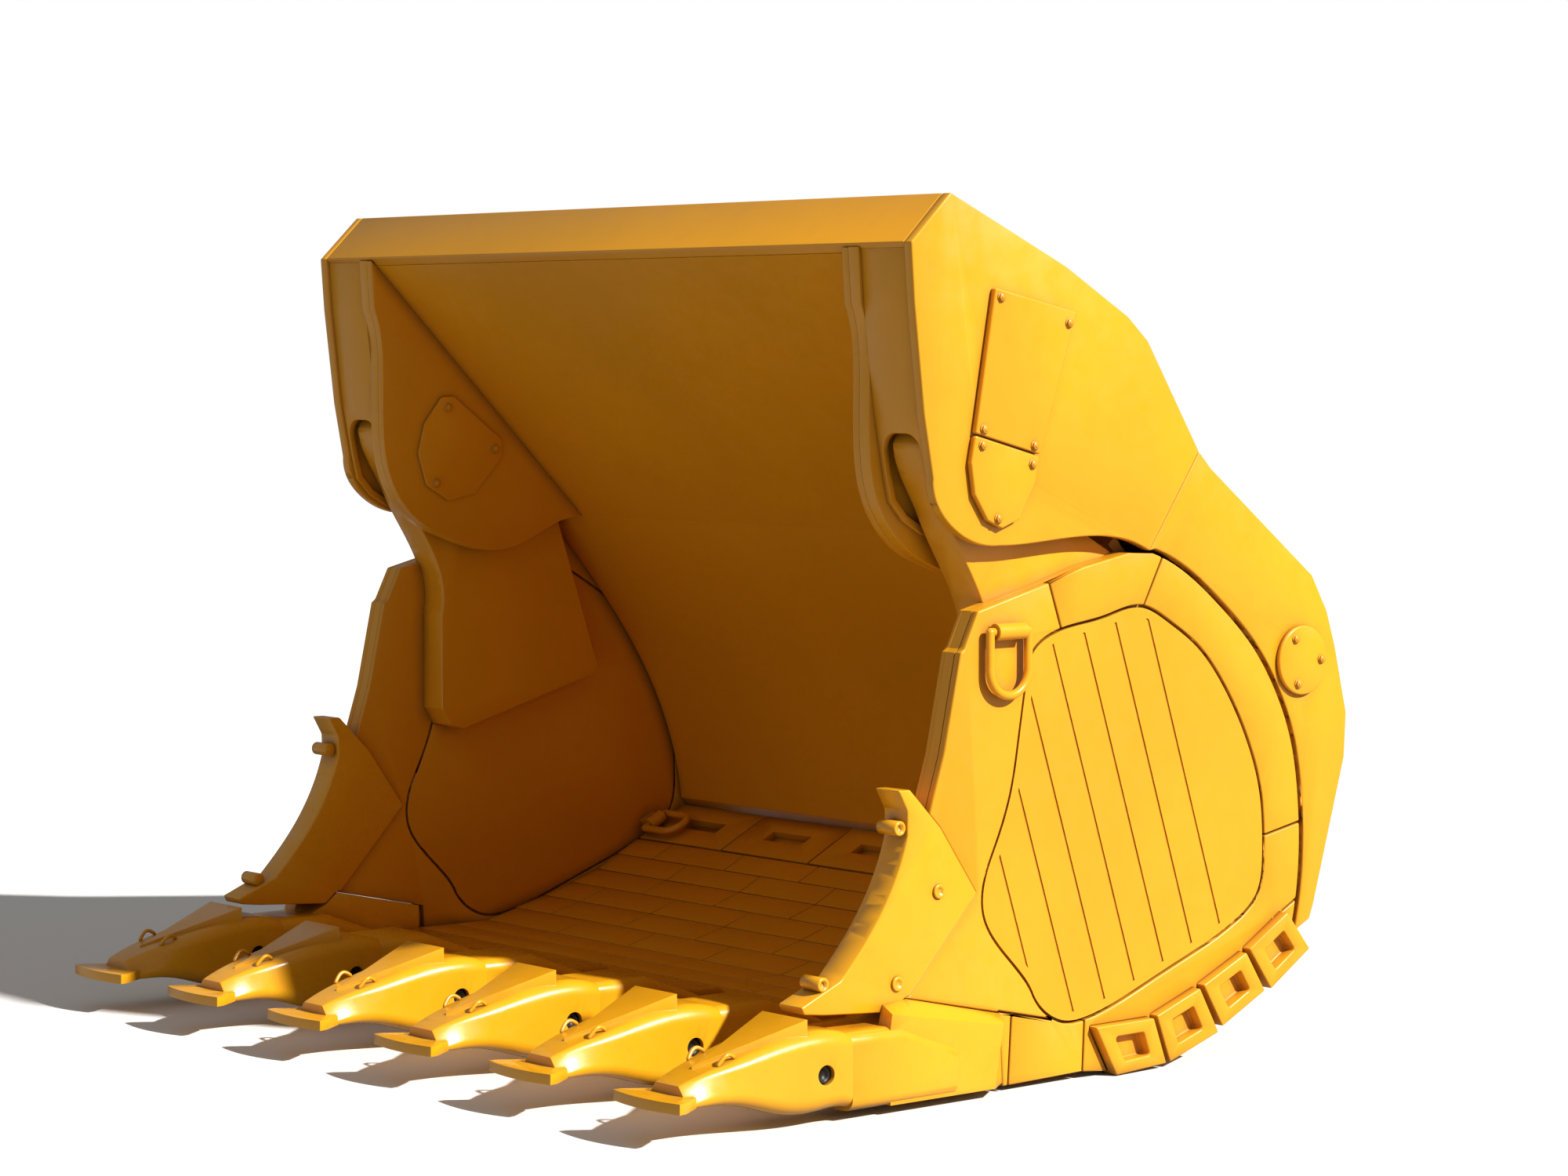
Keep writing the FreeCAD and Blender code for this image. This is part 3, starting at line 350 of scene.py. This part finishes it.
def as_piece(name, work, slot, body, material=None, replaced=()):
    """Turn a bmesh into a shaded piece that rides on a body."""
    mesh = bpy.data.meshes.new(name)
    bmesh.ops.recalc_face_normals(work, faces=work.faces)
    work.to_mesh(mesh)
    work.free()
    mesh.materials.append(material or MATERIALS[slot])
    mesh.shade_smooth()
    piece = bpy.data.objects.new(name, mesh)
    bpy.context.scene.collection.objects.link(piece)
    if replaced:
        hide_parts(*replaced)
    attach(piece, body)
    return piece


def soften(piece, width, segments=2, angle=28.0, clamp=False):
    """Round the edges that are sharper than an angle in degrees."""
    rounding = piece.modifiers.new("edges", "BEVEL")
    rounding.width = width
    rounding.segments = segments
    rounding.limit_method = "ANGLE"
    rounding.angle_limit = math.radians(angle)
    rounding.use_clamp_overlap = clamp
    rounding.harden_normals = True
    rounding.miter_outer = "MITER_ARC"


def dress(node, width, segments=2, angle=28.0, clamp=False):
    """Stand-in for a node: the same shape with its sharp edges rounded off."""
    piece = as_piece("shaped_" + node, clean_mesh(node), SLOT_OF[node], BODY_OF[node],
                     replaced=(node,))
    soften(piece, width, segments, angle, clamp)


def keep(node):
    """A node whose shape is right as it is gets only its material."""
    mesh = NODES[node].data
    mesh.materials.clear()
    mesh.materials.append(MATERIALS[SLOT_OF[node]])


# ---- round and swept shapes ---------------------------------------------------------
def frame_along(axis):
    """Two directions square to an axis."""
    side = Vector((1, 0, 0)) if abs(axis.x) < 0.9 else Vector((0, 0, 1))
    across = axis.cross(side).normalized()
    return across, axis.cross(across).normalized()


def lathe(work, centre, axis, profile, sides=32):
    """Solid of revolution about an axis. The profile is (radius, height) pairs, ends closed."""
    across, up = frame_along(axis)
    rings = []
    for radius, height in profile:
        rings.append([work.verts.new(centre + axis * height
                                     + (across * math.cos(turn) + up * math.sin(turn)) * radius)
                      for turn in (math.tau * step / sides for step in range(sides))])
    for low, high in zip(rings, rings[1:]):
        for step in range(sides):
            after = (step + 1) % sides
            work.faces.new((low[step], low[after], high[after], high[step]))
    work.faces.new(rings[0][::-1])
    work.faces.new(rings[-1])


def sweep(work, path, radius, sides=8, ripple=0.0, pitch=0.03):
    """Tube along a path of points, closed at its ends and rippled if asked."""
    rings = []
    travelled = 0.0
    for index, point in enumerate(path):
        before, after = path[max(index - 1, 0)], path[min(index + 1, len(path) - 1)]
        across, up = frame_along((after - before).normalized())
        travelled += (point - before).length
        end = 0.55 if index in (0, len(path) - 1) else 1.0
        size = radius * end * (1 + ripple * math.sin(math.tau * travelled / pitch))
        rings.append([work.verts.new(point + (across * math.cos(turn) + up * math.sin(turn)) * size)
                      for turn in (math.tau * step / sides for step in range(sides))])
    for low, high in zip(rings, rings[1:]):
        for step in range(sides):
            after = (step + 1) % sides
            work.faces.new((low[step], low[after], high[after], high[step]))
    work.faces.new(rings[0][::-1])
    work.faces.new(rings[-1])


# ---- weld beads ---------------------------------------------------------------------
def resample(path, step):
    """Points at even steps along a path of points."""
    points = [path[0]]
    for start, end in zip(path, path[1:]):
        count = max(1, round((end - start).length / step))
        points += [start.lerp(end, number / count) for number in range(1, count + 1)]
    return points


def seams(node, others):
    """Runs of a node's edges that lie on the surface of its neighbours."""
    near = surface(others)
    work = clean_mesh(node)
    touching = {}
    for edge in work.edges:
        if len(edge.link_faces) != 2 or edge.calc_face_angle() < 0.3:
            continue
        ends = [vertex.co for vertex in edge.verts]
        spots = [ends[0].lerp(ends[1], share) for share in (0.04, 0.5, 0.96)]
        if all(near.find_nearest(spot)[3] < SEAM_GAP for spot in spots):
            touching[edge.index] = edge
    runs = []
    left = set(touching.values())
    while left:
        edge = left.pop()
        path = [edge.verts[0].co.copy(), edge.verts[1].co.copy()]
        tips = [edge.verts[0], edge.verts[1]]
        for end in (0, 1):
            growing = True
            while growing:
                growing = False
                heading = (path[-1] - path[-2]) if end else (path[0] - path[1])
                for candidate in tips[end].link_edges:
                    if candidate not in left:
                        continue
                    other = candidate.other_vert(tips[end])
                    if heading.angle(other.co - tips[end].co) < math.radians(50):
                        left.discard(candidate)
                        path.insert(len(path) if end else 0, other.co.copy())
                        tips[end] = other
                        growing = True
                        break
        runs.append(path)
    work.free()
    return runs


def weld(node, others, radius):
    """Rippled bead along every seam between a node and its neighbours."""
    work = bmesh.new()
    for path in seams(node, others):
        if sum((b - a).length for a, b in zip(path, path[1:])) > WELD_SHORTEST:
            sweep(work, resample(path, WELD_STEP), radius, WELD_SIDES, WELD_RIPPLE, WELD_STEP * 3)
    as_piece("weld_" + node, work, SLOT_OF[node], BODY_OF[node])


# ---- fasteners and pins -------------------------------------------------------------
def bolt(work, centre, axis, radius, height):
    """Washer, six-sided head with a chamfered top, and a raised middle."""
    lathe(work, centre, axis, [(radius * 0.97, 0), (radius, height * 0.06), (radius, height * 0.22),
                               (radius * 0.93, height * 0.28)])
    lathe(work, centre, axis, [(radius * 0.84, height * 0.2), (radius * 0.84, height * 0.74),
                               (radius * 0.72, height * 0.88)], 6)
    lathe(work, centre, axis, [(radius * 0.40, height * 0.8), (radius * 0.38, height * 0.95),
                               (radius * 0.25, height)], 20)


def cover_bolts():
    """Hexagon bolts in place of the plain heads on the access covers."""
    work = bmesh.new()
    for low, high in islands("cover_bolts"):
        middle = (low + high) / 2
        outward = math.copysign(1, middle.x) * (1 if abs(middle.x) > BOLT_SPLIT else -1)
        foot = Vector((low.x if outward > 0 else high.x, middle.y, middle.z))
        bolt(work, foot, Vector((outward, 0, 0)), (high.y - low.y) / 2, high.x - low.x)
    as_piece("hex_bolts", work, "fasteners", "rear_wall", replaced=("cover_bolts",))


def retainers():
    """Dark pins across the teeth, and painted bosses with a hollow end on the shrouds."""
    pins, plugs = bmesh.new(), bmesh.new()
    for low, high in islands("retainer_pins"):
        middle = (low + high) / 2
        radius, reach = (high.z - low.z) / 2, (high.x - low.x) / 2
        outward = Vector((math.copysign(1, middle.x), 0, 0))
        if radius > PLUG_LARGEST:
            lathe(pins, middle, outward, [(radius * 0.55, 12e-3 - reach), (radius * 0.62, -reach),
                                          (radius * 0.9, -reach), (radius, 6e-3 - reach),
                                          (radius, reach - 6e-3), (radius * 0.9, reach),
                                          (radius * 0.62, reach), (radius * 0.55, reach - 12e-3)])
        else:
            hollow = min(14e-3, reach)
            lathe(plugs, middle, outward, [(radius * 0.9, -reach), (radius, 3e-3 - reach),
                                           (radius, reach - 3e-3), (radius * 0.9, reach),
                                           (radius * 0.56, reach), (radius * 0.44, reach - hollow)], 28)
    as_piece("tooth_pins", pins, "pin_steel", "clam", replaced=("retainer_pins",))
    as_piece("shroud_bosses", plugs, "pin_steel", "clam", MATERIALS["cast_steel"], ("retainer_pins",))


def handling_eyes(number):
    """Two small bent wires on the tooth's top, one each side of its ridge."""
    node = "tooth_%d" % number
    low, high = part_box(node)
    top = surface([node])
    work = bmesh.new()
    for side in (-1, 1):
        path = []
        for step in range(9):
            share = step / 8
            x = (low.x + high.x) / 2 + side * (EYE_OFFSET + 0.010 * math.sin(math.pi * share))
            y = low.y + EYE_BACK + EYE_LENGTH * share
            hit = top.ray_cast(Vector((x, y, high.z + 0.1)), Vector((0, 0, -1)))[0]
            path.append(hit + Vector((0, 0, EYE_RISE * math.sin(math.pi * share))))
        sweep(work, resample(path, 0.006), EYE_WIRE, 8)
    as_piece("handling_eyes_%d" % number, work, "cast_steel", "clam")


def pair(name):
    """Names of the left and right node."""
    return [name + "_" + side for side in SIDES]


make_camera()
make_floor()
make_light()

TEETH = ["tooth_%d" % number for number in range(1, 7)]
GENTLE = ["top_plate", "rear_plate", "closing_bar", "lip", "heel_plates", "floor_wear_plates",
          "inner_covers", "cheek_liners"]
GENTLE += [n for base in ("cheek_inner", "cheek_front", "inner_liner") for n in pair(base)]
FIRM = ["spill_guard", "heel_blocks", "access_covers", "stick_lugs", "tilt_lugs"]
FIRM += [n for base in ("cheek_outer", "side_arm", "rim_plates", "hinge_arm", "wing_shroud")
         for n in pair(base)]
for node in NODES:
    if node in FIRM:
        dress(node, FIRM_EDGE)
    elif node in GENTLE:
        dress(node, GENTLE_EDGE)
    elif node in TEETH:
        dress(node, TOOTH_EDGE, 3, 35.0, True)
    elif node == "tooth_adapters":
        dress(node, ADAPTER_EDGE, 2, 40.0, True)
    elif node not in ("cover_bolts", "retainer_pins"):
        keep(node)
cover_bolts()
retainers()
for number in range(1, 7):
    handling_eyes(number)
weld("stick_lugs", ["rear_plate", "top_plate"], 0.016)
weld("tilt_lugs", ["rear_plate"], 0.014)
weld("spill_guard", ["top_plate", "back_plate_upper"], 0.012)
weld("back_plate_upper", ["cheek_liners"], 0.010)
weld("ring_brackets", pair("rim_plates") + pair("inner_liner"), 0.006)
